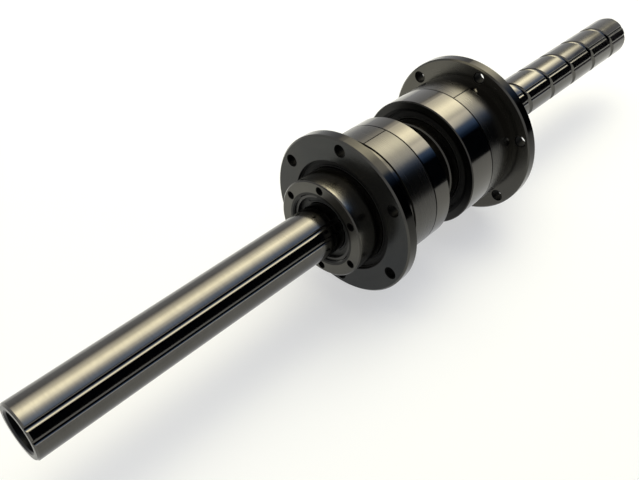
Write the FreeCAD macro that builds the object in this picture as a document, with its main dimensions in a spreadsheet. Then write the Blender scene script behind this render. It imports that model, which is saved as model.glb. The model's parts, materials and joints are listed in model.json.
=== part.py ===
import FreeCAD, Part
import math
import os
import Sketcher
from FreeCAD import Placement, Rotation, Vector

# Ball screw spline: a hollow shaft with a helical ball groove crossing three pairs of
# straight ball grooves, carried by a spline unit and a screw unit whose nuts both turn
# in their own flanged bearings.
# Row frame: origin on the shaft axis at the back face of the spline unit's flange,
# +X along the shaft towards the screw unit, +Z up.
# Each unit is drawn along its own axis from the open end of its nut (0) through the
# flange to the end of its bearing barrel, then placed on the shaft.

os.makedirs("parts", exist_ok=True)
doc = FreeCAD.newDocument("BallScrewSpline")

# Driving sizes in mm and degrees, with what each one sets
driving = [
    ("shaftDia", 25, "outer diameter of the shaft"),
    ("shaftWall", 3.5, "shaft surface to its bore"),
    ("shaftNearEnd", 178, "shaft end to the origin, spline side"),
    ("shaftFarEnd", 264, "origin to the shaft end, screw side"),
    ("shaftChamfer", 0.8, "chamfer on the shaft's ends"),
    ("lead", 25, "axial travel for one turn of the screw nut"),
    ("screwBallDia", 3.969, "ball diameter in the helical groove"),
    ("screwBallRise", 0.5, "shaft surface to the ball centres of the helical groove"),
    ("threadStart", -9.9, "where the helical groove starts, straight above the axis"),
    ("splineBallDia", 3.175, "ball diameter in the straight grooves"),
    ("splineBallRise", 1, "shaft surface to the ball centres of the straight grooves"),
    ("splinePairAngle", 27, "angle between the two grooves of a pair"),
    ("splinePairStart", 25.7, "angle of the middle of the first pair"),
    ("grooveClearance", 0.04, "extra radius of a ball groove over its ball"),
    ("runningGap", 0.4, "radial gap between the shaft and a nut's bore"),
    ("sleeveDia", 50.4, "outer diameter of a nut's free sleeve"),
    ("sleeveLength", 14, "sleeve length in front of the flange"),
    ("sleeveBevel", 0.6, "chamfer on the sleeve's end"),
    ("tapEdge", 3.4, "sleeve surface to the middle of a tapped hole in a nut's end"),
    ("tapDia", 3.3, "tapping diameter of those holes"),
    ("tapDepth", 9, "depth of those holes"),
    ("tapStart", 28, "angle of the first tapped hole"),
    ("landRise", 1, "sleeve surface to the land between the nut's ball races"),
    ("rearDrop", 1.5, "that land to the nut's surface at its overhang"),
    ("ballOverLand", 1.3, "that land to the bearing's ball centres"),
    ("ballUnderRing", 1.2, "the bearing's ball centres to the bore of its outer rings"),
    ("raceBallDia", 4.762, "bearing ball diameter"),
    ("raceFromEnd", 7.2, "second bearing ball row to the barrel's end"),
    ("raceApart", 14.4, "first bearing ball row to the second"),
    ("sealSeatStep", 0.5, "ring bore to the bore of the recesses that hold the bearing seals"),
    ("flangeThick", 6.4, "thickness of a flange"),
    ("flangeBevel", 0.8, "chamfer on a flange's rim"),
    ("flangeHoleDia", 5.5, "clearance holes for M5 screws"),
    ("flangeHoleBevel", 0.4, "chamfer round the flange holes"),
    ("barrelLength", 36.6, "barrel length behind the flange"),
    ("barrelBevel", 0.5, "chamfer on the barrel's free end"),
    ("splineWall", 4.3, "seal seat to the barrel's surface, spline unit"),
    ("splineReach", 8.5, "barrel's surface to the flange's rim, spline unit"),
    ("splineHoleEdge", 5.5, "flange's rim to the middle of a hole, spline unit"),
    ("splineHoleStart", 28, "angle of the first flange hole, spline unit"),
    ("splineNeck", 9.6, "bare barrel beside the flange, spline unit"),
    ("splineEndLength", 11.3, "joint of the outer rings to the barrel's end, spline unit"),
    ("splineSlitAngle", 89.4, "angle of the slit in the band, spline unit"),
    ("screwWall", 5.55, "seal seat to the barrel's surface, screw unit"),
    ("screwReach", 9.25, "barrel's surface to the flange's rim, screw unit"),
    ("screwHoleEdge", 5, "flange's rim to the middle of a hole, screw unit"),
    ("screwHoleStart", 41, "angle of the first flange hole, screw unit"),
    ("screwNeck", 5.6, "bare barrel beside the flange, screw unit"),
    ("screwEndLength", 17.4, "joint of the outer rings to the barrel's end, screw unit"),
    ("screwSlitAngle", 100, "angle of the slit in the band, screw unit"),
    ("neckDepth", 0.6, "how far the bare neck lies under the barrel"),
    ("bandThick", 1.2, "thickness of the split band"),
    ("slitWidth", 0.35, "width of the band's slit"),
    ("shimThick", 0.5, "preload shim between the outer rings"),
    ("shimSink", 1, "how far the shim lies under the barrel's surface"),
    ("nutOverhang", 5, "nut end past the barrel's free end"),
    ("unitGap", 7.8, "one nut's end to the other's"),
    ("splineRecessReach", 5.1, "shaft surface to the end recess of the spline nut"),
    ("screwRecessReach", 6.7, "shaft surface to the end recess of the screw nut"),
    ("recessDepth", 9, "depth of the nuts' end recesses"),
    ("capThick", 3, "thickness of the ball return caps"),
    ("turnDepth", 2, "depth of the pockets that turn the balls round"),
    ("ringInset", 1.4, "retaining ring behind the nut's end face"),
    ("ringThick", 1.2, "thickness of a retaining ring"),
    ("ringBite", 0.9, "how far a retaining ring sits in its groove"),
    ("ringWide", 2.2, "radial width of a retaining ring"),
    ("shaftSealThick", 2.6, "thickness of a shaft seal"),
    ("sealGap", 0.3, "clearance of a seal's lip"),
    ("bearingSealThick", 2.4, "thickness of a bearing seal"),
    ("bearingSealInset", 1.6, "bearing seal behind the ring's face"),
    ("cageThick", 1.6, "radial thickness of a bearing cage"),
    ("cageWide", 4, "axial width of a bearing cage"),
    ("splineReturnTurn", 20, "angle from a straight track to its return bore"),
    ("turnPastBore", 7, "angle that a spline cap's turn pocket runs past the return bore"),
    ("turnPastTrack", 6, "angle that it runs past the straight track"),
    ("screwTurnHalf", 8, "half angle of the screw cap's turn pocket"),
    ("ringRoom", 0.1, "clearance of a retaining ring in its groove's floor"),
    ("overcut", 1, "how far a cutting outline runs past what it cuts"),
    ("returnClearance", 0.13, "extra diameter of a return bore over its ball"),
    ("screwReturnRise", 4.6, "shaft surface to the middle of the screw nut's return bore"),
    ("splineReturnRise", 3.3, "shaft surface to the middle of the spline nut's return bores"),
    ("screwShift", 0.55, "middle of the loaded turns past the middle of the screw nut"),
    ("screwTurns", 1.5, "loaded turns of the screw nut"),
]
derived = [
    ("flangeFront", "=sleeveLength", "front of the flange in a unit's own axis"),
    ("flangeBack", "=sleeveLength + flangeThick", "back of the flange in a unit's own axis"),
    ("barrelEnd", "=flangeBack + barrelLength", "end of the barrel in a unit's own axis"),
    ("nutLength", "=barrelEnd + nutOverhang", "whole length of a nut"),
    ("nutBore", "=shaftDia / 2 + runningGap", "bore radius of a nut"),
    ("unitDistance", "=2 * (barrelLength + nutOverhang) + unitGap", "back of one flange to the other's"),
    ("screwPitch", "=shaftDia / 2 + screwBallRise", "ball centre radius of the helical groove"),
    ("screwGroove", "=screwBallDia / 2 + grooveClearance", "profile radius of the helical groove"),
    ("splinePitch", "=shaftDia / 2 + splineBallRise", "ball centre radius of the straight grooves"),
    ("splineGroove", "=splineBallDia / 2 + grooveClearance", "profile radius of the straight grooves"),
    ("raceLand", "=sleeveDia / 2 + landRise", "nut radius between its ball races"),
    ("racePitch", "=raceLand + ballOverLand", "ball centre radius of the bearings"),
    ("raceGroove", "=raceBallDia / 2 + grooveClearance", "profile radius of a bearing race"),
    ("raceLast", "=barrelLength - raceFromEnd", "second ball row from the back of the flange"),
    ("raceFirst", "=raceLast - raceApart", "first ball row from the back of the flange"),
    ("ringBore", "=racePitch + ballUnderRing", "bore radius of the outer rings"),
    ("sealSeat", "=ringBore + sealSeatStep", "bore radius of the bearing seals' seats"),
    ("rearRadius", "=raceLand - rearDrop", "nut radius at its overhang"),
    ("splineBarrel", "=sealSeat + splineWall", "barrel radius, spline unit"),
    ("splineRim", "=splineBarrel + splineReach", "flange radius, spline unit"),
    ("splineSplit", "=barrelLength - splineEndLength", "joint of the outer rings, spline unit"),
    ("screwBarrel", "=sealSeat + screwWall", "barrel radius, screw unit"),
    ("screwRim", "=screwBarrel + screwReach", "flange radius, screw unit"),
    ("screwSplit", "=barrelLength - screwEndLength", "joint of the outer rings, screw unit"),
    ("splineRecess", "=shaftDia / 2 + splineRecessReach", "end recess radius, spline nut"),
    ("screwRecess", "=shaftDia / 2 + screwRecessReach", "end recess radius, screw nut"),
]

sheet = doc.addObject("Spreadsheet::Sheet", "Sizes")
size = {}
for row, (alias, value, meaning) in enumerate(driving + derived, start=1):
    sheet.set("A%d" % row, alias)
    sheet.set("B%d" % row, str(value))
    sheet.set("C%d" % row, meaning)
    sheet.setAlias("B%d" % row, alias)
doc.recompute()
for alias, value, meaning in driving + derived:
    size[alias] = float(sheet.get(alias))

pairs = 3
ballCounts = {"race": 14, "splineRow": 7, "screw": 18}
nodes = []
tiny = 1e-6


class Term:
    """A size that carries both its value and the expression that sets it."""

    def __init__(self, text, value):
        self.text = text
        self.value = value

    def join(self, other, sign, turned=False):
        if not isinstance(other, Term):
            other = Term(repr(other), other)
        first, second = (other, self) if turned else (self, other)
        value = {
            "+": lambda a, b: a + b,
            "-": lambda a, b: a - b,
            "*": lambda a, b: a * b,
            "/": lambda a, b: a / b,
        }[sign](first.value, second.value)
        return Term("(%s %s %s)" % (first.text, sign, second.text), value)

    def __add__(self, other):
        return self.join(other, "+")

    def __radd__(self, other):
        return self.join(other, "+", True)

    def __sub__(self, other):
        return self.join(other, "-")

    def __rsub__(self, other):
        return self.join(other, "-", True)

    def __mul__(self, other):
        return self.join(other, "*")

    def __rmul__(self, other):
        return self.join(other, "*", True)

    def __truediv__(self, other):
        return self.join(other, "/")

    def cos(self):
        return Term("cos(%s * 1 deg)" % self.text, math.cos(math.radians(self.value)))

    def sin(self):
        return Term("sin(%s * 1 deg)" % self.text, math.sin(math.radians(self.value)))


class Sizes:
    """The sheet's cells as terms, one attribute for each."""


s = Sizes()
for alias, value, meaning in driving + derived:
    setattr(s, alias, Term("Sizes." + alias, size[alias]))


def term(number):
    return number if isinstance(number, Term) else Term(repr(number), number)


def polar(pitchRadius, angle):
    angle = term(angle)
    return pitchRadius * angle.cos(), pitchRadius * angle.sin()


# Own axis of each unit: the screw unit is turned end for end on the shaft
unitStart = {"spline": 0 - s.flangeBack, "screw": s.unitDistance + s.flangeBack, "row": term(0)}
turnedUnits = ["screw"]


def ownAngle(unit, angle):
    """Angle about a unit's own axis for an angle seen in the row's frame."""
    return 180 - angle if unit in turnedUnits else angle


def place(item, unit):
    turn = Rotation(Vector(0, 0, 1), 180) if unit in turnedUnits else Rotation()
    item.Placement = Placement(Vector(unitStart[unit].value, 0, 0), turn)
    item.setExpression("Placement.Base.x", unitStart[unit].text)


def newBody(name, unit):
    body = doc.addObject("PartDesign::Body", name)
    body.Label = name
    place(body, unit)
    nodes.append(body)
    return body


def planeSketch(body, plane, name):
    sketch = body.newObject("Sketcher::SketchObject", name)
    origin = [item for item in body.Origin.OriginFeatures if plane in item.Name][0]
    sketch.AttachmentSupport = [(origin, "")]
    sketch.MapMode = "FlatFace"
    return sketch


def offset(sketch, distance):
    """Moves a sketch along the unit's axis from the plane that it lies on."""
    sketch.AttachmentOffset = Placement(Vector(0, 0, distance.value), Rotation())
    sketch.setExpression("AttachmentOffset.Base.z", distance.text)


def bind(sketch, kind, geometry, point, target):
    """Holds one coordinate of a point at a size, measured from the sketch's origin."""
    number = sketch.addConstraint(Sketcher.Constraint(kind, -1, 1, geometry, point, target.value))
    sketch.setExpression("Constraints[%d]" % number, target.text)


def outline(sketch, points):
    """Closed outline through points given as (x, y) terms."""
    count = len(points)
    rough = [Vector(x.value, y.value, 0) for x, y in points]
    for index in range(count):
        sketch.addGeometry(Part.LineSegment(rough[index], rough[(index + 1) % count]), False)
    for index in range(count):
        sketch.addConstraint(Sketcher.Constraint("Coincident", index, 2, (index + 1) % count, 1))
    for index, (x, y) in enumerate(points):
        bind(sketch, "DistanceX", index, 1, x)
        bind(sketch, "DistanceY", index, 1, y)


def circleAt(sketch, x, y, circleRadius):
    number = sketch.addGeometry(
        Part.Circle(Vector(x.value, y.value, 0), Vector(0, 0, 1), circleRadius.value), False
    )
    bind(sketch, "DistanceX", number, 3, x)
    bind(sketch, "DistanceY", number, 3, y)
    held = sketch.addConstraint(Sketcher.Constraint("Radius", number, circleRadius.value))
    sketch.setExpression("Constraints[%d]" % held, circleRadius.text)


def turned(body, points, name="Section"):
    """Ring turned about the unit's axis from (axial, radial) points."""
    sketch = planeSketch(body, "XZ_Plane", body.Name + name)
    outline(sketch, [(term(x), term(r)) for x, r in points])
    solid = body.newObject("PartDesign::Revolution", body.Name + name + "Turned")
    solid.Profile = sketch
    solid.ReferenceAxis = (sketch, ["H_Axis"])
    solid.Angle = 360
    sketch.Visibility = False
    return solid


def flatGroove(x, pitch, groove, landRadius, outward):
    """Flat-sided groove round a ball; outward is +1 in a bore and -1 on a nut's outside."""
    floor = pitch + outward * groove
    mouth = groove * math.sqrt(2) - outward * (landRadius - pitch)
    flat = groove * math.tan(math.pi / 8)
    return [(x - mouth, landRadius), (x - flat, floor), (x + flat, floor), (x + mouth, landRadius)]


def race(x, landRadius, outward):
    return flatGroove(x, s.racePitch, s.raceGroove, landRadius, outward)


def boreRing(body, circles, name, depth=None, count=1):
    """Round holes along the axis, repeated evenly; through all without a depth."""
    sketch = planeSketch(body, "YZ_Plane", body.Name + name)
    for pitchRadius, angle, holeRadius in circles:
        x, y = polar(pitchRadius, angle)
        circleAt(sketch, x, y, holeRadius)
    return pocketRing(body, sketch, name, depth, count)


def pocketRing(body, sketch, name, depth=None, count=1):
    pocket = body.newObject("PartDesign::Pocket", body.Name + name + "Pocket")
    pocket.Profile = sketch
    if depth is None:
        pocket.Type = "ThroughAll"
        pocket.Midplane = True
    else:
        pocket.Reversed = True
        pocket.Length = depth.value
        pocket.setExpression("Length", depth.text)
    sketch.Visibility = False
    body.Tip = pocket
    if count > 1:
        return around(body, [pocket], count, name)
    return pocket


def around(body, features, count, name):
    pattern = body.newObject("PartDesign::PolarPattern", body.Name + name + "Ring")
    pattern.Originals = features
    axis = [item for item in body.Origin.OriginFeatures if "X_Axis" in item.Name][0]
    pattern.Axis = (axis, [""])
    pattern.Angle = 360
    pattern.Occurrences = count
    body.Tip = pattern
    return pattern


def helixCut(body, sketch, height, name):
    """Helical groove swept from a section drawn straight above the axis."""
    helix = body.newObject("PartDesign::SubtractiveHelix", body.Name + name + "Cut")
    helix.Profile = sketch
    helix.ReferenceAxis = (sketch, ["H_Axis"])
    helix.Mode = "pitch-height-angle"
    helix.Pitch = s.lead.value
    helix.setExpression("Pitch", s.lead.text)
    helix.Height = height.value
    helix.setExpression("Height", height.text)
    sketch.Visibility = False
    body.Tip = helix
    return helix


def circularEdges(feature, edgeRadius):
    names = []
    for number, edge in enumerate(feature.Shape.Edges, start=1):
        if isinstance(edge.Curve, Part.Circle) and abs(edge.Curve.Radius - edgeRadius) < 1e-4:
            names.append("Edge%d" % number)
    return names


# Outer rings, shim and split band of each bearing
def outerRing(unit, rim, barrel, neck, split, holeEdge, holeStart):
    body = newBody(unit + "_outer_ring", unit)
    seatEnd = s.flangeFront + s.bearingSealInset + s.bearingSealThick
    turned(body, [
        (s.flangeFront, s.sealSeat),
        (s.flangeFront, rim - s.flangeBevel),
        (s.flangeFront + s.flangeBevel, rim),
        (s.flangeBack - s.flangeBevel, rim),
        (s.flangeBack, rim - s.flangeBevel),
        (s.flangeBack, barrel - s.neckDepth),
        (s.flangeBack + neck, barrel - s.neckDepth),
        (s.flangeBack + neck, barrel - s.bandThick),
        (s.flangeBack + split, barrel - s.bandThick),
        (s.flangeBack + split, s.ringBore),
        *reversed(race(s.flangeBack + s.raceFirst, s.ringBore, 1)),
        (seatEnd, s.ringBore),
        (seatEnd, s.sealSeat),
    ])
    hole = (rim - holeEdge, ownAngle(unit, holeStart), s.flangeHoleDia / 2)
    holes = boreRing(body, [hole], "Holes", None, 6)
    doc.recompute()
    bevel = body.newObject("PartDesign::Chamfer", body.Name + "HoleBevel")
    bevel.Base = (holes, circularEdges(holes, size["flangeHoleDia"] / 2))
    bevel.Size = size["flangeHoleBevel"]
    bevel.setExpression("Size", s.flangeHoleBevel.text)


def splitBand(unit, barrel, neck, split, slitAngle):
    """Thin ring with one slit, seated in the shallow turned seat of the outer ring."""
    body = newBody(unit + "_split_band", unit)
    inner = barrel - s.bandThick + s.grooveClearance
    turned(body, [
        (s.flangeBack + neck, inner),
        (s.flangeBack + neck, barrel),
        (s.flangeBack + split, barrel),
        (s.flangeBack + split, inner),
    ])
    sketch = planeSketch(body, "YZ_Plane", body.Name + "Slit")
    angle = term(ownAngle(unit, slitAngle))
    half = s.slitWidth / 2
    corners = []
    for reach, side in ((inner - 1, -1), (inner - 1, 1), (barrel + 1, 1), (barrel + 1, -1)):
        x = reach * angle.cos() - side * half * angle.sin()
        y = reach * angle.sin() + side * half * angle.cos()
        corners.append((x, y))
    outline(sketch, corners)
    pocketRing(body, sketch, "Slit")


def shim(unit, barrel, split):
    body = newBody(unit + "_shim", unit)
    low = s.ringBore + s.shimSink
    turned(body, [
        (s.flangeBack + split, low),
        (s.flangeBack + split, barrel - s.shimSink),
        (s.flangeBack + split + s.shimThick, barrel - s.shimSink),
        (s.flangeBack + split + s.shimThick, low),
    ])


def endRing(unit, barrel, split):
    body = newBody(unit + "_end_ring", unit)
    start = s.flangeBack + split + s.shimThick
    seat = s.barrelEnd - s.bearingSealInset - s.bearingSealThick
    lip = s.sealSeat + s.bearingSealInset
    turned(body, [
        (start, s.ringBore),
        (start, barrel),
        (s.barrelEnd - s.barrelBevel, barrel),
        (s.barrelEnd, barrel - s.barrelBevel),
        (s.barrelEnd, lip),
        (s.barrelEnd - s.bearingSealInset / 2, lip),
        (s.barrelEnd - s.bearingSealInset / 2, s.sealSeat),
        (seat, s.sealSeat),
        (seat, s.ringBore),
        *reversed(race(s.flangeBack + s.raceLast, s.ringBore, 1)),
    ])


def bearingSeal(name, unit, face, inward, nutRadius):
    """Seal disc with a dished face; inward is +1 or -1 along the unit's axis."""
    body = newBody(name, unit)
    outer = s.sealSeat - s.grooveClearance
    inner = nutRadius + s.sealGap
    back = face + inward * s.bearingSealThick
    dish = face + inward * s.bearingSealThick / 4
    turned(body, [
        (face, outer),
        (face, outer - s.bearingSealThick / 4),
        (dish, outer - s.bearingSealThick / 3),
        (dish, inner + s.bearingSealThick / 3),
        (face, inner + s.bearingSealThick / 4),
        (face, inner),
        (back, inner),
        (back, outer),
    ])


# Nuts: each is the inner ring of its own bearing
def nut(unit, recess):
    body = newBody(unit + "_nut", unit)
    sleeve = s.sleeveDia / 2
    land = s.raceLand
    rear = s.rearRadius
    shoulder = s.flangeFront + s.bearingSealInset + s.bearingSealThick + s.sealGap
    rearShoulder = s.barrelEnd - s.bearingSealInset - s.bearingSealThick - s.sealGap
    floor = s.recessDepth
    farFloor = s.nutLength - s.recessDepth
    grooveEnd = s.ringInset + s.ringThick + s.grooveClearance
    farGroove = s.nutLength - s.ringInset
    farGrooveEnd = s.nutLength - grooveEnd
    deep = recess + s.ringBite
    turned(body, [
        (0, recess + s.sleeveBevel),
        (0, sleeve - s.sleeveBevel),
        (s.sleeveBevel, sleeve),
        (shoulder, sleeve),
        (shoulder, land),
        *race(s.flangeBack + s.raceFirst, land, -1),
        *race(s.flangeBack + s.raceLast, land, -1),
        (rearShoulder, land),
        (rearShoulder, rear),
        (s.nutLength - s.sleeveBevel, rear),
        (s.nutLength, rear - s.sleeveBevel),
        (s.nutLength, recess + s.sleeveBevel),
        (s.nutLength - s.sleeveBevel, recess),
        (farGroove, recess),
        (farGroove, deep),
        (farGrooveEnd, deep),
        (farGrooveEnd, recess),
        (farFloor, recess),
        (farFloor, s.nutBore),
        (floor, s.nutBore),
        (floor, recess),
        (grooveEnd, recess),
        (grooveEnd, deep),
        (s.ringInset, deep),
        (s.ringInset, recess),
        (s.sleeveBevel, recess),
    ])
    tap = (sleeve - s.tapEdge, ownAngle(unit, s.tapStart), s.tapDia / 2)
    boreRing(body, [tap], "Taps", s.tapDepth, 6)
    return body


def groovePair(grooveRadius):
    """The two straight grooves of the first pair, as (pitch radius, angle, radius)."""
    half = s.splinePairAngle / 2
    return [
        (s.splinePitch, s.splinePairStart - half, grooveRadius),
        (s.splinePitch, s.splinePairStart + half, grooveRadius),
    ]


# Return bores stand clear of the tracks: beside each pair of straight ones, above the helical one
splineReturnAngle = s.splinePairAngle / 2 + s.splineReturnTurn
screwReturnAngle = term(90)


def splineNut():
    body = nut("spline", s.splineRecess)
    boreRing(body, groovePair(s.splineGroove), "Tracks", None, pairs)
    pitch = s.shaftDia / 2 + s.splineReturnRise
    boreRadius = (s.splineBallDia + s.returnClearance) / 2
    bores = [
        (pitch, s.splinePairStart - splineReturnAngle, boreRadius),
        (pitch, s.splinePairStart + splineReturnAngle, boreRadius),
    ]
    boreRing(body, bores, "Returns", None, pairs)


# The helical track lies over the shaft's groove: it starts five whole turns along it, before the
# nut's end, and runs for three turns to pass the other end
trackStart = s.unitDistance + s.flangeBack - s.threadStart - 5 * s.lead
trackLength = 3 * s.lead


def screwNut():
    body = nut("screw", s.screwRecess)
    track = planeSketch(body, "XZ_Plane", body.Name + "Track")
    landRadius = s.nutBore - s.runningGap
    outline(track, flatGroove(trackStart, s.screwPitch, s.screwGroove, landRadius, 1))
    helixCut(body, track, trackLength, "Track")
    boreRadius = (s.screwBallDia + s.returnClearance) / 2
    bore = (s.shaftDia / 2 + s.screwReturnRise, screwReturnAngle, boreRadius)
    boreRing(body, [bore], "Return")


def returnCap(name, unit, recess, floor, inward):
    """Ball return cap on a recess floor; inward is +1 or -1 along the unit's axis."""
    body = newBody(name, unit)
    top = floor - inward * s.capThick
    outer = recess - s.grooveClearance
    inner = s.nutBore + s.grooveClearance
    turned(body, [(floor, inner), (floor, outer), (top, outer), (top, inner)])
    start = floor - s.turnDepth if inward > 0 else floor
    half = s.splinePairAngle / 2
    middle = s.splinePairStart
    if unit == "spline":
        wide, narrow = splineReturnAngle + s.turnPastBore, half - s.turnPastTrack
        turnPocket(body, "Left", start, inner, outer, middle - wide, middle - narrow, pairs)
        turnPocket(body, "Right", start, inner, outer, middle + narrow, middle + wide, pairs)
    else:
        first, last = screwReturnAngle - s.screwTurnHalf, screwReturnAngle + s.screwTurnHalf
        turnPocket(body, "Turn", start, inner, outer, first, last)


def turnPocket(body, name, start, inner, outer, first, last, count=1):
    """Pocket that leads balls from a track to its return bore, between two angles."""
    sketch = planeSketch(body, "YZ_Plane", body.Name + name)
    offset(sketch, start)
    low, high = inner - s.overcut, outer + s.overcut
    outline(sketch, [polar(low, first), polar(high, first), polar(high, last), polar(low, last)])
    pocketRing(body, sketch, name, s.turnDepth, count)


def retainingRing(name, unit, recess, start):
    """Split ring sprung into the groove of a nut's recess."""
    body = newBody(name, unit)
    outer = recess + s.ringBite - s.ringRoom
    inner = outer - s.ringWide
    turned(body, [
        (start, inner),
        (start, outer),
        (start + s.ringThick, outer),
        (start + s.ringThick, inner),
    ])
    sketch = planeSketch(body, "YZ_Plane", body.Name + "Gap")
    wide = s.ringWide * 1.5
    outline(sketch, [
        (0 - wide, inner - s.overcut),
        (wide, inner - s.overcut),
        (wide, outer + s.overcut),
        (0 - wide, outer + s.overcut),
    ])
    pocketRing(body, sketch, "Gap")


def shaftSeal(name, unit, recess, start, noses):
    """Seal with a bevelled lip; its noses fill the straight grooves of the shaft."""
    body = newBody(name, unit)
    outer = recess - s.grooveClearance
    inner = s.shaftDia / 2 + s.sealGap
    end = start + s.shaftSealThick
    turned(body, [
        (start, inner),
        (start, inner + s.sealGap * 2),
        (start + s.sealGap, inner + s.sealGap * 3),
        (start + s.sealGap, outer),
        (end, outer),
        (end, inner),
    ])
    if noses:
        sketch = planeSketch(body, "YZ_Plane", body.Name + "Noses")
        offset(sketch, start)
        for pitchRadius, angle, noseRadius in groovePair(s.splineGroove - s.sealGap):
            x, y = polar(pitchRadius, angle)
            circleAt(sketch, x, y, noseRadius)
        pad = body.newObject("PartDesign::Pad", body.Name + "NosePad")
        pad.Profile = sketch
        pad.Length = s.shaftSealThick.value
        pad.setExpression("Length", s.shaftSealThick.text)
        sketch.Visibility = False
        around(body, [pad], pairs, "Noses")


# Balls stand behind seals, so each is a many-sided solid whose corners lie on the true sphere
def manySided(name, diameter):
    across = diameter / math.sqrt(6)
    alongX, alongY = Rotation(Vector(0, 1, 0), 90), Rotation(Vector(1, 0, 0), 90)
    prisms = []
    for label, turn in (("X", alongX), ("Y", alongY), ("Z", Rotation())):
        prism = doc.addObject("Part::Prism", name + label)
        prism.Polygon = 8
        prism.setExpression("Circumradius", (across / math.cos(math.pi / 8)).text)
        prism.setExpression("Height", (across * 2).text)
        flats = Rotation(Vector(0, 0, 1), 22.5)
        middle = turn.multVec(Vector(0, 0, -across.value))
        prism.Placement = Placement(middle, turn.multiply(flats))
        for axis in "xyz":
            if abs(getattr(middle, axis)) > tiny:
                direction = math.copysign(1, getattr(middle, axis))
                prism.setExpression("Placement.Base." + axis, (direction * across).text)
        prisms.append(prism)
    solid = doc.addObject("Part::MultiCommon", name)
    solid.Shapes = prisms
    return solid


ballKinds = {
    "race": manySided("raceBall", s.raceBallDia),
    "spline": manySided("splineBall", s.splineBallDia),
    "screw": manySided("screwBall", s.screwBallDia),
}


def ball(kind, name, x, y, z):
    copy = doc.addObject("App::Link", name)
    copy.LinkedObject = ballKinds[kind]
    copy.Placement = Placement(Vector(x.value, y.value, z.value), Rotation())
    for axis, target in (("x", x), ("y", y), ("z", z)):
        copy.setExpression("Placement.Base." + axis, target.text)
    return copy


def addCompound(name, unit, items):
    group = doc.addObject("Part::Compound", name)
    group.Label = name
    group.Links = items
    place(group, unit)
    nodes.append(group)


def bearingRow(unit, name, x):
    """One row of bearing balls joined to the ring that spaces them."""
    ring = doc.addObject("Part::Cut", name + "Ring")
    outer = doc.addObject("Part::Cylinder", name + "Outer")
    inner = doc.addObject("Part::Cylinder", name + "Inner")
    start = x - s.cageWide / 2
    for part, away in ((outer, s.cageThick / 2), (inner, 0 - s.cageThick / 2)):
        part.setExpression("Radius", (s.racePitch + away).text)
        part.setExpression("Height", s.cageWide.text)
        part.Placement = Placement(Vector(start.value, 0, 0), Rotation(Vector(0, 1, 0), 90))
        part.setExpression("Placement.Base.x", start.text)
    ring.Base = outer
    ring.Tool = inner
    items = [ring]
    for number in range(ballCounts["race"]):
        y, z = polar(s.racePitch, 360 * number / ballCounts["race"])
        items.append(ball("race", "%sBall%d" % (name, number), term(x), y, z))
    row = doc.addObject("Part::MultiFuse", name)
    row.Label = name
    row.Shapes = items
    place(row, unit)
    nodes.append(row)


def splineBalls():
    items = []
    first = s.recessDepth + s.splineBallDia
    run = s.nutLength - 2 * first
    last = ballCounts["splineRow"] - 1
    for pair in range(pairs):
        for side, (pitchRadius, angle, grooveRadius) in enumerate(groovePair(s.splineGroove)):
            y, z = polar(pitchRadius, angle + 360 / pairs * pair)
            for number in range(ballCounts["splineRow"]):
                x = first + run * (number / last)
                name = "splineBall%d_%d_%d" % (pair, side, number)
                items.append(ball("spline", name, x, y, z))
    addCompound("spline_balls", "spline", items)


def screwBalls():
    """Balls along the loaded turns of the helical track."""
    items = []
    middle = s.nutLength / 2 + s.screwShift
    for number in range(ballCounts["screw"]):
        part = (number + 0.5) / ballCounts["screw"] - 0.5
        x = middle + s.lead * s.screwTurns * part
        y, z = polar(s.screwPitch, 90 + 360 * (x - trackStart) / s.lead)
        items.append(ball("screw", "screwBall%d" % number, x, y, z))
    addCompound("screw_balls", "screw", items)


def shaft():
    body = newBody("shaft", "row")
    outer = s.shaftDia / 2
    inner = outer - s.shaftWall
    near = 0 - s.shaftNearEnd
    turned(body, [
        (near, inner + s.shaftChamfer),
        (near, outer - s.shaftChamfer),
        (near + s.shaftChamfer, outer),
        (s.shaftFarEnd - s.shaftChamfer, outer),
        (s.shaftFarEnd, outer - s.shaftChamfer),
        (s.shaftFarEnd, inner + s.shaftChamfer),
        (s.shaftFarEnd - s.shaftChamfer, inner),
        (near + s.shaftChamfer, inner),
    ])
    thread = planeSketch(body, "XZ_Plane", body.Name + "Thread")
    circleAt(thread, s.threadStart, s.screwPitch, s.screwGroove)
    helixCut(body, thread, s.shaftFarEnd - s.threadStart + s.lead / 4, "Thread")
    boreRing(body, groovePair(s.splineGroove), "Splines", None, pairs)


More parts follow.
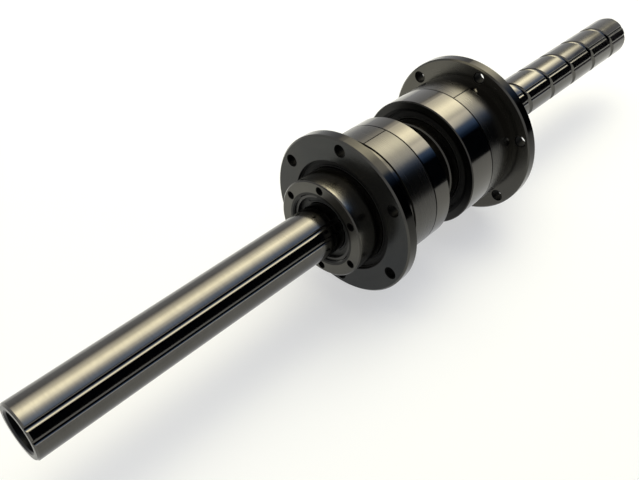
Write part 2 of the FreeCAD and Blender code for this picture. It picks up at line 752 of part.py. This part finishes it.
shaft()
unitSizes = {
    "spline": (s.splineRim, s.splineBarrel, s.splineNeck, s.splineSplit,
               s.splineHoleEdge, s.splineHoleStart, s.splineSlitAngle, s.splineRecess),
    "screw": (s.screwRim, s.screwBarrel, s.screwNeck, s.screwSplit,
              s.screwHoleEdge, s.screwHoleStart, s.screwSlitAngle, s.screwRecess),
}
splineNut()
screwNut()
for unit, sizes in unitSizes.items():
    rim, barrel, neck, split, holeEdge, holeStart, slitAngle, recess = sizes
    outerRing(unit, rim, barrel, neck, split, holeEdge, holeStart)
    splitBand(unit, barrel, neck, split, slitAngle)
    shim(unit, barrel, split)
    endRing(unit, barrel, split)
    frontFace = s.flangeFront + s.bearingSealInset
    rearFace = s.barrelEnd - s.bearingSealInset
    bearingSeal(unit + "_front_bearing_seal", unit, frontFace, 1, s.sleeveDia / 2)
    bearingSeal(unit + "_rear_bearing_seal", unit, rearFace, -1, s.rearRadius)
    bearingRow(unit, unit + "_front_ball_row", s.flangeBack + s.raceFirst)
    bearingRow(unit, unit + "_rear_ball_row", s.flangeBack + s.raceLast)
    returnCap(unit + "_front_cap", unit, recess, s.recessDepth, 1)
    returnCap(unit + "_rear_cap", unit, recess, s.nutLength - s.recessDepth, -1)
    frontRing = s.ringInset + s.grooveClearance / 2
    rearRing = s.nutLength - s.ringInset - s.ringThick - s.grooveClearance / 2
    retainingRing(unit + "_front_retaining_ring", unit, recess, frontRing)
    retainingRing(unit + "_rear_retaining_ring", unit, recess, rearRing)
    frontSeal = s.recessDepth - s.capThick - s.shaftSealThick
    rearSeal = s.nutLength - s.recessDepth + s.capThick
    shaftSeal(unit + "_front_shaft_seal", unit, recess, frontSeal, unit == "spline")
    shaftSeal(unit + "_rear_shaft_seal", unit, recess, rearSeal, unit == "spline")
splineBalls()
screwBalls()

doc.recompute()
for item in doc.Objects:
    if "Invalid" in item.State or "Error" in item.State:
        raise RuntimeError("%s has not built: %s" % (item.Name, item.State))
for node in nodes:
    if node.Shape.isNull() or not node.Shape.isValid():
        raise RuntimeError("%s has no sound solid" % node.Label)
    node.Shape.exportStep("parts/%s.step" % node.Label)
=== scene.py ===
import json
import math

import bpy
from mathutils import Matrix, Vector

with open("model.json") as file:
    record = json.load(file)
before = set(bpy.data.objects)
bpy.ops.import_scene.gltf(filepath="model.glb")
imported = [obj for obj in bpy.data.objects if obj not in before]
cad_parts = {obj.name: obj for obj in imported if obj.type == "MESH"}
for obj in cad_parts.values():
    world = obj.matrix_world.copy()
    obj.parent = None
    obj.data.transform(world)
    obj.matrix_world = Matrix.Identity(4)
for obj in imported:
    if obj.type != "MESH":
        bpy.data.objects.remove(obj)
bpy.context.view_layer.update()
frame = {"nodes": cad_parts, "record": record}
nodes = frame["nodes"]
print("frame loaded:", len(nodes), "nodes")


# one socket of a material, with the sums that are written on it
class Wire:
    def __init__(self, tree, socket):
        self.tree = tree
        self.socket = socket

    # any node: its settings first, then the values or wires of its inputs, by name or by number
    def node(self, kind, settings=None, inputs=None, output=0):
        made = self.tree.nodes.new(kind)
        for name, value in (settings or {}).items():
            if name == "stops":
                fillRamp(made.color_ramp, value)
            else:
                setattr(made, name, value)
        for name, value in (inputs or {}).items():
            if isinstance(value, Wire):
                self.tree.links.new(value.socket, made.inputs[name])
            else:
                made.inputs[name].default_value = value
        return Wire(self.tree, made.outputs[output])

    def sum(self, operation, *values):
        return self.node("ShaderNodeMath", {"operation": operation}, dict(enumerate(values)))

    def __add__(self, other):
        return self.sum("ADD", self, other)

    def __radd__(self, other):
        return self.sum("ADD", other, self)

    def __sub__(self, other):
        return self.sum("SUBTRACT", self, other)

    def __rsub__(self, other):
        return self.sum("SUBTRACT", other, self)

    def __mul__(self, other):
        return self.sum("MULTIPLY", self, other)

    def __rmul__(self, other):
        return self.sum("MULTIPLY", other, self)

    def __truediv__(self, other):
        return self.sum("DIVIDE", self, other)

    def __pow__(self, other):
        return self.sum("POWER", self, other)

    def __abs__(self):
        return self.sum("ABSOLUTE", self)

    def __gt__(self, other):
        return self.sum("GREATER_THAN", self, other)

    def __lt__(self, other):
        return self.sum("LESS_THAN", self, other)

    # 0 below low and 1 above high, with a smooth change between; low may be the larger
    def step(self, low, high):
        ramp = {"Value": self, "From Min": low, "From Max": high}
        return self.node("ShaderNodeMapRange", {"interpolation_type": "SMOOTHSTEP"}, ramp)

    # a colour made darker or lighter by a wire
    def times(self, tone):
        return self.node("ShaderNodeVectorMath", {"operation": "SCALE"}, {0: self, "Scale": tone})

    # a colour that goes from one to the other as this wire goes from 0 to 1
    def blend(self, first, second):
        kind = {"data_type": "RGBA"}
        return self.node("ShaderNodeMix", kind, {0: self, 6: colour(first), 7: colour(second)}, 2)


def colour(value):
    return value if isinstance(value, Wire) else (*value, 1)


def fillRamp(ramp, stops):
    while len(ramp.elements) < len(stops):
        ramp.elements.new(1)
    for element, (place, shade) in zip(ramp.elements, stops):
        element.position = place
        element.color = (*shade, 1)


# an empty material with its closing node, and a first wire to write on
def newMaterial(name):
    made = bpy.data.materials.new(name)
    made.use_nodes = True
    tree = made.node_tree
    tree.nodes.clear()
    output = tree.nodes.new("ShaderNodeOutputMaterial")
    start = Wire(tree, output.inputs["Surface"])
    return made, start


def close(start, shader):
    start.tree.links.new(shader.socket, start.socket)


# what a turned surface is drawn with: place, distance from the axis, turn and slope
class Turned:
    def __init__(self, start):
        place = start.node("ShaderNodeTexCoord", output="Object")
        slope = start.node("ShaderNodeTexCoord", output="Normal")
        self.x = start.node("ShaderNodeSeparateXYZ", inputs={0: place}, output=0)
        y = start.node("ShaderNodeSeparateXYZ", inputs={0: place}, output=1)
        z = start.node("ShaderNodeSeparateXYZ", inputs={0: place}, output=2)
        self.radius = (y * y + z * z) ** 0.5
        self.side = y / self.radius
        self.rise = z / self.radius
        self.face = abs(start.node("ShaderNodeSeparateXYZ", inputs={0: slope}, output=0))
        self.place = place
        self.start = start

    # noise that runs round the axis as tool marks do: fine across, long around
    def marks(self, across, around, detail=3):
        start = self.start
        where = start.node("ShaderNodeCombineXYZ", inputs={
            0: (self.x + self.radius) * across, 1: self.side * around, 2: self.rise * around})
        return start.node("ShaderNodeTexNoise", inputs={"Vector": where, "Scale": 1, "Detail": detail})

    # noise that runs along the axis: long streaks of a ground bar
    def streaks(self, along, across, detail=3):
        start = self.start
        where = start.node("ShaderNodeCombineXYZ", inputs={
            0: self.x * along, 1: self.side * across, 2: self.rise * across})
        return start.node("ShaderNodeTexNoise", inputs={"Vector": where, "Scale": 1, "Detail": detail})

    # distance to the nearest of the evenly spaced holes on a circle
    def fromHoles(self, circle, first, count):
        turn = self.start.sum("ARCTAN2", self.rise, self.side) - (math.radians(first) - 4 * math.pi)
        step = 2 * math.pi / count
        beside = self.start.sum("PINGPONG", turn, step / 2) * self.radius
        away = self.radius - circle
        return (beside * beside + away * away) ** 0.5

    # distance beside a line that runs along the part at one angle
    def besideLine(self, turn):
        along = math.cos(math.radians(turn))
        up = math.sin(math.radians(turn))
        behind = (self.side * along + self.rise * up) < 0
        return abs(self.rise * along - self.side * up) * self.radius + behind

    # cloudy change over the piece, such as oil film and handling
    def clouds(self, size, detail=4):
        return self.start.node("ShaderNodeTexNoise",
                               inputs={"Vector": self.place, "Scale": 1 / size, "Detail": detail})


# slopes of an end face and of a chamfer, and how wide each painted edge fades
endSlope = (0.86, 0.97)
fade = {"hole": 0.0002, "inside": 0.0003, "rim": 0.0005, "slit": 0.0001, "bore": 0.0004}


def addSurface(start, base, roughness, bumpOf, depth, look):
    normal = start.node("ShaderNodeBump", inputs={"Height": bumpOf, "Distance": depth, "Strength": 1})
    shader = start.node("ShaderNodeBsdfPrincipled", inputs={
        "Base Color": base, "Roughness": roughness, "Normal": normal,
        "Metallic": look.get("metallic", 1), "IOR": 1.5,
        "Specular IOR Level": look.get("specular", 0.5)})
    close(start, shader)


# turned and ground steel: side walls bright; end faces, chamfers, the flange rim and the neck are given
# tones of their own as painted reflection, highlight and shade, with end faces and chamfers mostly darker;
# holes, the bore and the seat under the band are painted dark as painted shade; joints dark
broadWider = 9


def groundSteel(name, look):
    made, start = newMaterial(name)
    turned = Turned(start)
    fine = turned.marks(look["markScale"], 2)
    broad = turned.marks(look["markScale"] / broadWider, 1, 2)
    cloud = turned.clouds(look["cloudSize"])
    endFace = turned.face.step(*endSlope)
    chamfer = turned.face.step(*look["chamferSlope"]) * (1 - endFace)
    wall = cloud.blend(look["wall"], look["wallWorn"])
    if "rim" in look:
        # the flange rim is painted darker than the wall: painted shade
        onRim = turned.radius.step(look["rimFrom"], look["rimFrom"] + fade["rim"])
        wall = onRim.blend(wall, look["rim"])
        # the neck beside the flange is painted darker: a painted reflection of the flange's dark face
        inNeck = abs(turned.x - look["neckMiddle"]) < look["neckHalf"]
        wall = inNeck.blend(wall, look["neck"])
        # the seat under the split band is painted near black: painted shade in the recess
        inSeat = abs(turned.x - look["seatMiddle"]) < look["seatHalf"]
        wall = inSeat.blend(wall, look["seat"])
    # end faces take a tone of their own, a painted reflection: darker than the wall on most parts, lighter
    # on the band and the screw ring
    end = cloud.blend(look["face"], look["faceWorn"])
    base = endFace.blend(wall, end)
    # chamfers take a tone of their own: a painted highlight where lighter than the wall, painted shade
    # where darker
    base = (chamfer * look["chamferShow"]).blend(base, look["chamfer"])
    rough = (look["roughness"] + endFace * (look["faceRoughness"] - look["roughness"])
             + (fine + cloud - 1) * look["roughChange"])
    if "holeCircle" in look:
        # the holes and a ring round each are painted near black: painted shade in the hole
        holes = turned.fromHoles(look["holeCircle"], look["holeFirst"], 6)
        inHole = holes.step(look["holeEdge"] + fade["hole"], look["holeEdge"])
        base = inHole.blend(base, look["holeShade"])
        rough = rough + inHole * look["holeRough"]
    # the bore is painted darker: painted shade inside the ring
    inside = turned.radius.step(look["insideFrom"] + fade["inside"], look["insideFrom"])
    base = inside.blend(base, look["insideShade"])
    for joint in look.get("joints", []):
        atJoint = abs(turned.x - joint) < look["jointHalf"]
        base = atJoint.blend(base, look["slitTone"])
    for middle, turn in look.get("slits", []):
        onRing = abs(turned.x - middle) < look["slitReach"]
        inSlit = turned.besideLine(turn).step(look["slitEdge"] + fade["slit"], look["slitEdge"])
        base = (inSlit * onRing).blend(base, look["slitTone"])
    tone = fine * look["markTone"] + broad * look["markTone"] + (1 - look["markTone"])
    base = base.times(tone)
    addSurface(start, base, rough, fine + broad, look["markDepth"], look)
    return made


# in the looks below, the face, chamfer, rim, neck, seat, hole and inside tones are painted reflection,
# highlight and shade; the wall and worn tones are the steel's own
splineRingLook = {
    "wall": (0.0612, 0.0585, 0.0532), "wallWorn": (0.0702, 0.0676, 0.0622),
    "rim": (0.0213, 0.0207, 0.0192), "rimFrom": 0.036,
    "neck": (0.0399, 0.0383, 0.0351), "neckMiddle": 0.0048, "neckHalf": 0.0048,
    "seat": (0.004, 0.004, 0.004), "seatMiddle": 0.0175, "seatHalf": 0.0078,
    "face": (0.037, 0.040, 0.042), "faceWorn": (0.060, 0.059, 0.055),
    "chamfer": (0.11, 0.108, 0.100), "chamferShow": 0.5, "chamferSlope": (0.3, 0.5),
    "holeCircle": 0.0365, "holeFirst": 28, "holeEdge": 0.0032, "holeShade": (0.004, 0.004, 0.004),
    "holeRough": 0.5, "insideFrom": 0.0293, "insideShade": (0.012, 0.012, 0.012),
    "roughness": 0.13, "faceRoughness": 0.25, "roughChange": 0.08,
    "markScale": 2600, "markTone": 0.18, "markDepth": 0.000004, "cloudSize": 0.02,
}
screwRingLook = dict(
    splineRingLook,
    rim=(0.0128, 0.0125, 0.0117), rimFrom=0.038,
    face=(0.082, 0.079, 0.069), faceWorn=(0.112, 0.108, 0.095),
    neck=(0.0399, 0.0383, 0.0351), neckMiddle=0.0882, neckHalf=0.0028,
    seatMiddle=0.0786, seatHalf=0.0068, holeCircle=0.039, holeFirst=41,
)
endRingLook = {
    "wall": (0.0716, 0.0685, 0.0625), "wallWorn": (0.0813, 0.0782, 0.0722),
    "face": (0.030, 0.030, 0.029), "faceWorn": (0.040, 0.039, 0.037),
    "chamfer": (0.035, 0.034, 0.032), "chamferShow": 0.8, "chamferSlope": (0.3, 0.5),
    "insideFrom": 0.0305, "insideShade": (0.012, 0.012, 0.012),
    "joints": [0.0258, 0.0713], "jointHalf": 0.0003, "slitTone": (0.003, 0.003, 0.003),
    "roughness": 0.10, "faceRoughness": 0.3, "roughChange": 0.06,
    "markScale": 3000, "markTone": 0.10, "markDepth": 0.000002, "cloudSize": 0.02,
}
bandLook = {
    "wall": (0.0559, 0.0543, 0.0511), "wallWorn": (0.0649, 0.0633, 0.0596),
    "face": (0.10, 0.10, 0.09), "faceWorn": (0.12, 0.12, 0.11),
    "chamfer": (0.030, 0.030, 0.028), "chamferShow": 0.8, "chamferSlope": (0.3, 0.5),
    "insideFrom": 0.030, "insideShade": (0.012, 0.012, 0.012),
    "slits": [(0.018, 89.4), (0.078, 100)], "slitEdge": 0.00028, "slitReach": 0.02,
    "slitTone": (0.003, 0.003, 0.003),
    "roughness": 0.26, "faceRoughness": 0.35, "roughChange": 0.10,
    "markScale": 2200, "markTone": 0.16, "markDepth": 0.000005, "cloudSize": 0.015,
}
nutLook = {
    "wall": (0.125, 0.120, 0.106), "wallWorn": (0.145, 0.139, 0.125),
    "face": (0.075, 0.073, 0.066), "faceWorn": (0.105, 0.102, 0.092),
    "chamfer": (0.035, 0.034, 0.032), "chamferShow": 0.8, "chamferSlope": (0.3, 0.5),
    "holeCircle": 0.0218, "holeFirst": 28, "holeEdge": 0.00205, "holeShade": (0.006, 0.006, 0.006),
    "holeRough": 0.5, "insideFrom": 0.0192, "insideShade": (0.022, 0.022, 0.021),
    "roughness": 0.20, "faceRoughness": 0.34, "roughChange": 0.10,
    "markScale": 2600, "markTone": 0.15, "markDepth": 0.000004, "cloudSize": 0.012,
}


# the bar: ground all over, with long fine streaks and a polished sheen
shaftLook = {
    "wall": (0.0697, 0.0673, 0.0621), "wallWorn": (0.0976, 0.0944, 0.0883),
    "face": (0.045, 0.044, 0.042), "chamfer": (0.10, 0.098, 0.09),
    "chamferShow": 0.7, "chamferSlope": (0.3, 0.6),
    "roughness": 0.15, "roughChange": 0.10, "faceRoughness": 0.3,
    "streakTone": 0.34, "streakAlong": 12, "streakAcross": 36, "markScale": 2800,
    "markDepth": 0.000003, "cloudSize": 0.010,
    "boreShade": (0.035, 0.036, 0.038), "boreRadius": 0.0095, "boreRough": 0.2,
}


def groundBar(name, look):
    made, start = newMaterial(name)
    turned = Turned(start)
    ring = turned.marks(look["markScale"], 3)
    long = turned.streaks(look["streakAlong"], look["streakAcross"])
    cloud = turned.clouds(look["cloudSize"])
    endFace = turned.face.step(*endSlope)
    chamfer = turned.face.step(*look["chamferSlope"]) * (1 - endFace)
    inside = turned.radius.step(look["boreRadius"] + fade["bore"], look["boreRadius"])
    base = cloud.blend(look["wall"], look["wallWorn"])
    # the end face is painted darker and the chamfers lighter than the wall: painted reflection and painted
    # highlight
    base = endFace.blend(base, look["face"])
    base = (chamfer * look["chamferShow"]).blend(base, look["chamfer"])
    # the bore is painted darker: painted shade inside the bar
    base = inside.blend(base, look["boreShade"])
    tone = (ring + long) * look["streakTone"] + (1 - look["streakTone"])
    base = base.times(tone)
    rough = (look["roughness"] + endFace * (look["faceRoughness"] - look["roughness"])
             + (long + cloud - 1) * look["roughChange"] + inside * look["boreRough"])
    addSurface(start, base, rough, ring + long, look["markDepth"], look)
    return made


# rubber, plastic and blackened sheet: no metal, soft grain, worn in patches
wornPatch = 0.012
skinChange = 0.2


def dullSkin(name, look):
    made, start = newMaterial(name)
    turned = Turned(start)
    grain = turned.clouds(look["grainSize"], 5)
    rings = turned.marks(look["ringScale"], 2)
    cloud = turned.clouds(wornPatch)
    base = cloud.blend(look["colour"], look["worn"])
    rough = look["roughness"] + (grain - 0.5) * skinChange
    addSurface(start, base, rough, grain + rings * look["ringShow"], look["grainDepth"], look)
    return made


bearingSealLook = {
    "colour": (0.008, 0.008, 0.008), "worn": (0.013, 0.013, 0.013), "metallic": 0, "roughness": 0.6,
    "specular": 0.15,
    "grainSize": 0.0004, "grainDepth": 0.00003, "ringScale": 1400, "ringShow": 0.6,
}
shaftSealLook = {
    "colour": (0.016, 0.017, 0.017), "worn": (0.026, 0.027, 0.026), "metallic": 0, "roughness": 0.5,
    "specular": 0.3,
    "grainSize": 0.0005, "grainDepth": 0.00004, "ringScale": 1000, "ringShow": 0.4,
}
capLook = {
    "colour": (0.040, 0.040, 0.043), "worn": (0.055, 0.055, 0.058), "metallic": 0, "roughness": 0.4,
    "grainSize": 0.0003, "grainDepth": 0.00002, "ringScale": 900, "ringShow": 0.3,
}
shimLook = {
    "colour": (0.005, 0.005, 0.005), "worn": (0.008, 0.008, 0.008), "metallic": 0.4, "roughness": 0.5,
    "specular": 0.1,
    "grainSize": 0.0005, "grainDepth": 0.00001, "ringScale": 2000, "ringShow": 0.5,
}
springLook = {
    "colour": (0.030, 0.030, 0.031), "worn": (0.07, 0.068, 0.064), "metallic": 0.7, "roughness": 0.32,
    "grainSize": 0.0006, "grainDepth": 0.00001, "ringScale": 1800, "ringShow": 0.6,
}
ballLook = {
    "colour": (0.42, 0.42, 0.42), "worn": (0.50, 0.50, 0.49), "metallic": 1, "roughness": 0.12,
    "grainSize": 0.002, "grainDepth": 0.000002, "ringScale": 900, "ringShow": 0.2,
}

finishes = {
    "polished_ring_steel": groundSteel("end ring steel", endRingLook),
    "band_steel": groundSteel("split band steel", bandLook),
    "nut_steel": groundSteel("nut steel", nutLook),
    "shaft_steel": groundBar("ground bar steel", shaftLook),
    "dark_shim": dullSkin("dark shim", shimLook),
    "bearing_seal_rubber": dullSkin("bearing seal rubber", bearingSealLook),
    "shaft_seal_rubber": dullSkin("shaft seal rubber", shaftSealLook),
    "cap_plastic": dullSkin("return cap plastic", capLook),
    "spring_steel": dullSkin("black spring steel", springLook),
    "ball_steel": dullSkin("ball steel", ballLook),
}
special = {
    "spline_outer_ring": groundSteel("spline ring steel", splineRingLook),
    "screw_outer_ring": groundSteel("screw ring steel", screwRingLook),
}
slotOf = {part["node"]: part["material_slot"] for part in frame["record"]["subparts"]}
for name, piece in nodes.items():
    piece.data.materials.clear()
    piece.data.materials.append(special.get(name) or finishes[slotOf[name]])
print("finishes given to", len(nodes), "nodes")


# the pale table that it stands on
floorLook = {
    "colour": (0.86, 0.90, 0.95), "rest": -0.0442, "half": 6.0, "roughness": 0.7, "grain": 0.03,
    "grainScale": 90, "specular": 0.1, "whiter": 0.55,
}


# what the camera, a mirror or glass sees, as against what only lights the object
def seen(start):
    return (start.node("ShaderNodeLightPath", output="Is Camera Ray")
            + start.node("ShaderNodeLightPath", output="Is Glossy Ray")
            + start.node("ShaderNodeLightPath", output="Is Transmission Ray"))


# a flat sheet of the studio with its own material, set up outside the part
def newSheet(name, corners, made):
    mesh = bpy.data.meshes.new(name)
    mesh.from_pydata(corners, [], [(0, 1, 2, 3)])
    mesh.materials.append(made)
    sheet = bpy.data.objects.new(name, mesh)
    bpy.context.scene.collection.objects.link(sheet)
    return sheet


def layFloor(look):
    made, start = newMaterial("pale table")
    place = start.node("ShaderNodeTexCoord", output="Object")
    grain = start.node("ShaderNodeTexNoise", inputs={
        "Vector": place, "Scale": look["grainScale"], "Detail": 4})
    shader = start.node("ShaderNodeBsdfPrincipled", inputs={
        "Base Color": (*look["colour"], 1), "Specular IOR Level": look["specular"],
        "Roughness": look["roughness"] + (grain - 0.5) * look["grain"]})
    white = start.node("ShaderNodeEmission", inputs={"Color": (1, 1, 1, 1), "Strength": 1})
    shown = (seen(start) > 0.5) * look["whiter"]
    close(start, start.node("ShaderNodeMixShader", inputs={0: shown, 1: shader, 2: white}))
    half, rest = look["half"], look["rest"]
    newSheet("floor", [(-half, -half, rest), (half, -half, rest), (half, half, rest), (-half, half, rest)],
             made)


layFloor(floorLook)


# a glowing cloth above the table, warm and bright in its middle and cooler towards the window side
overheadLook = {
    "height": 1.0, "start": -0.6, "end": 1.9, "near": -1.15, "far": 1.35, "strength": 1.15,
    "inSteel": 1.88,
    "glow": [(-1.10, (0.0, 0.0, 0.0)), (-0.85, (0.03, 0.06, 0.13)), (-0.62, (0.15, 0.25, 0.47)),
             (-0.40, (0.46, 0.56, 0.74)), (-0.14, (1.7, 1.62, 1.4)), (0.08, (4.1, 3.82, 2.9)),
             (0.28, (4.7, 4.34, 3.2)), (0.55, (2.7, 2.5, 1.9)), (0.95, (1.4, 1.3, 1.08)),
             (1.30, (0.6, 0.56, 0.48))],
    "patchMiddle": (1.02, -0.32), "patchHalf": (0.30, 0.26), "patchGlow": 0.5,
    "patchColour": (0.9, 0.83, 0.66), "endFade": 0.35,
}


def hangCloth(look):
    made, start = newMaterial("glowing cloth")
    place = start.node("ShaderNodeTexCoord", output="Object")
    x = start.node("ShaderNodeSeparateXYZ", inputs={0: place}, output=0)
    y = start.node("ShaderNodeSeparateXYZ", inputs={0: place}, output=1)
    wide = look["far"] - look["near"]
    brightest = max(max(shade) for at, shade in look["glow"])
    stops = [((at - look["near"]) / wide, tuple(part / brightest for part in shade))
             for at, shade in look["glow"]]
    across = (y - look["near"]) / wide
    shade = start.node("ShaderNodeValToRGB", {"stops": stops}, {0: across})
    nearEnd = x.step(look["start"], look["start"] + look["endFade"])
    ends = nearEnd * x.step(look["end"], look["end"] - look["endFade"])
    patch = look["patchGlow"]
    for way, middle, half in zip((x, y), look["patchMiddle"], look["patchHalf"]):
        patch = abs(way - middle).step(half, half / 3) * patch
    shade = patch.blend(shade, look["patchColour"])
    mirrored = start.node("ShaderNodeLightPath", output="Is Glossy Ray") * (look["inSteel"] - 1) + 1
    power = ends * mirrored * (look["strength"] * brightest)
    close(start, start.node("ShaderNodeEmission", inputs={"Color": shade, "Strength": power}))
    left, right, high = look["start"], look["end"], look["height"]
    cloth = newSheet("overhead", [(left, look["near"], high), (left, look["far"], high),
                                  (right, look["far"], high), (right, look["near"], high)], made)
    cloth.visible_camera = False


hangCloth(overheadLook)


# the room round it: pale where a mirror or the camera sees it, soft as light
roomLook = {"shown": 0.8, "light": 0.3}


def paintRoom(look):
    world = bpy.data.worlds.new("room")
    world.use_nodes = True
    tree = world.node_tree
    tree.nodes.clear()
    output = tree.nodes.new("ShaderNodeOutputWorld")
    start = Wire(tree, output.inputs["Surface"])
    power = look["light"] + (seen(start) > 0.5) * (look["shown"] - look["light"])
    close(start, start.node("ShaderNodeBackground", inputs={"Color": (1, 1, 1, 1), "Strength": power}))
    bpy.context.scene.world = world


paintRoom(roomLook)


# a black card beside the table, which draws the dark edge on polished steel
cardLook = {
    "left": -0.4, "right": 2.2, "away": -0.9, "top": 0.86, "lift": 0.001,
    "colour": (0.004, 0.006, 0.012), "roughness": 0.9,
}


def standCard(look):
    made, start = newMaterial("black card")
    close(start, start.node("ShaderNodeBsdfPrincipled", inputs={
        "Base Color": (*look["colour"], 1), "Roughness": look["roughness"], "Specular IOR Level": 0}))
    left, right, away = look["left"], look["right"], look["away"]
    low, top = floorLook["rest"] + look["lift"], look["top"]
    card = newSheet("card", [(left, away, low), (right, away, low), (right, away, top), (left, away, top)],
                    made)
    card.visible_camera = False


standCard(cardLook)
print("table, cloth, card and room placed")


# the photograph's own point of view: metres, degrees, and millimetres on a 36 mm film
film = 36
photoWide = 639
cameraLook = {
    "place": (-0.2250, -0.1917, 0.2292), "yaw": 43.21, "pitch": -40.06, "focal": 768.2 * film / photoWide,
}


def aimCamera(look):
    data = bpy.data.cameras.new("camera")
    data.sensor_width = film
    data.sensor_fit = "HORIZONTAL"
    data.lens = look["focal"]
    data.clip_start = 0.01
    data.clip_end = 20
    camera = bpy.data.objects.new("camera", data)
    camera.location = look["place"]
    yaw, pitch = math.radians(look["yaw"]), math.radians(look["pitch"])
    ahead = Vector((math.cos(pitch) * math.cos(yaw), math.cos(pitch) * math.sin(yaw), math.sin(pitch)))
    camera.rotation_euler = ahead.to_track_quat("-Z", "Y").to_euler()
    bpy.context.scene.collection.objects.link(camera)
    bpy.context.scene.camera = camera


aimCamera(cameraLook)
bpy.context.scene.view_settings.view_transform = "Standard"
print("camera aimed")
